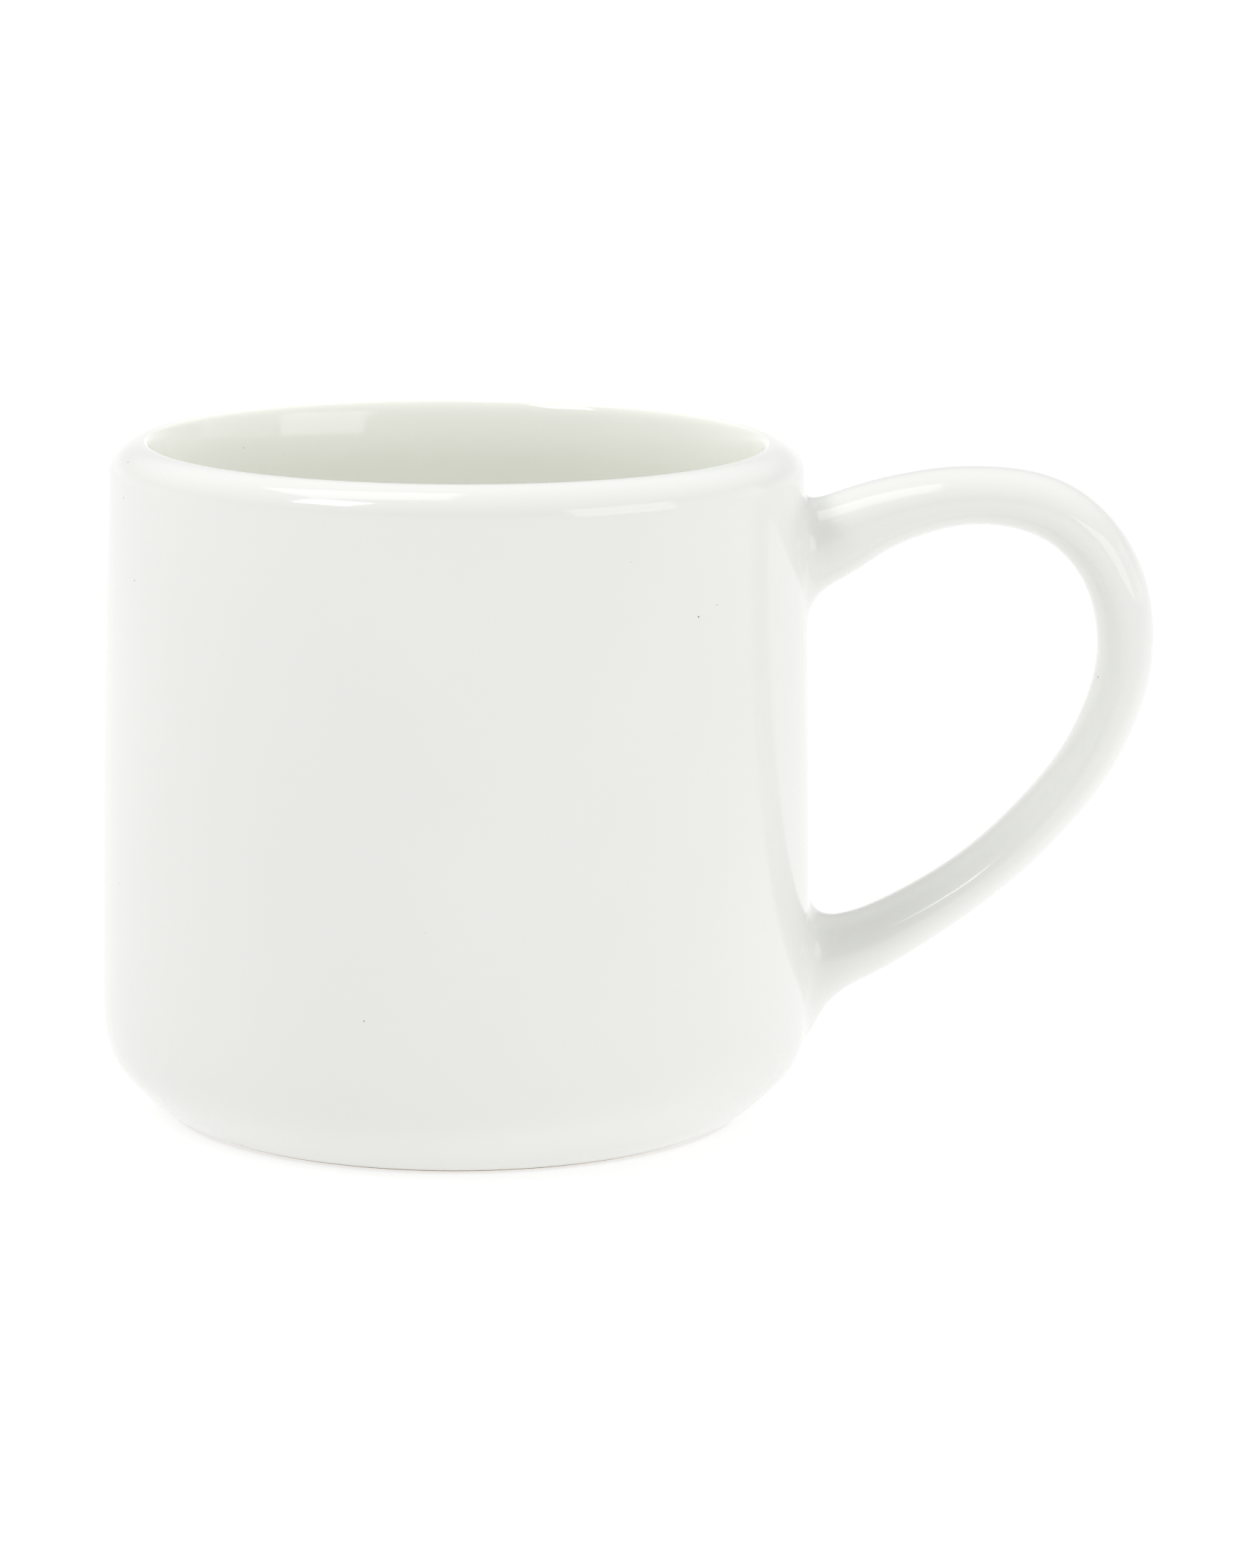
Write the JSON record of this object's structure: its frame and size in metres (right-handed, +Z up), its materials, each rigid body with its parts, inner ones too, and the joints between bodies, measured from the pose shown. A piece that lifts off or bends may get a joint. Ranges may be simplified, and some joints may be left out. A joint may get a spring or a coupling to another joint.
{
  "type": "ceramic mug",
  "caption": "Glazed stoneware drinking mug: a thick-walled cup with a rolled lip and turned foot, and a tall ear-shaped strap handle.",
  "frame": {"origin": "on the cup's axis, in the plane that the foot ring stands on; the recessed base's centre is 0.8 mm above it", "axes": "+Z up along the cup's axis, +X towards the handle, which lies in the XZ plane"},
  "size_m": [0.1418, 0.0958, 0.0909],
  "materials": {
    "cup_clay": "bare fired stoneware, matte, faintly grainy",
    "handle_clay": "bare fired stoneware under the glaze",
    "slip": "fired slip of the same clay, under the glaze",
    "outer_glaze": "glossy off-white glaze with a few fine iron specks",
    "liner_glaze": "glossy off-white glaze",
    "base_glaze": "glossy off-white glaze"
  },
  "bodies": {
    "root": {"cup_body": "cup_clay", "handle": "handle_clay", "upper_slip_joint": "slip", "lower_slip_joint": "slip", "outer_glaze": "outer_glaze", "liner_glaze": "liner_glaze", "base_glaze": "base_glaze"}
  },
  "joints": []
}
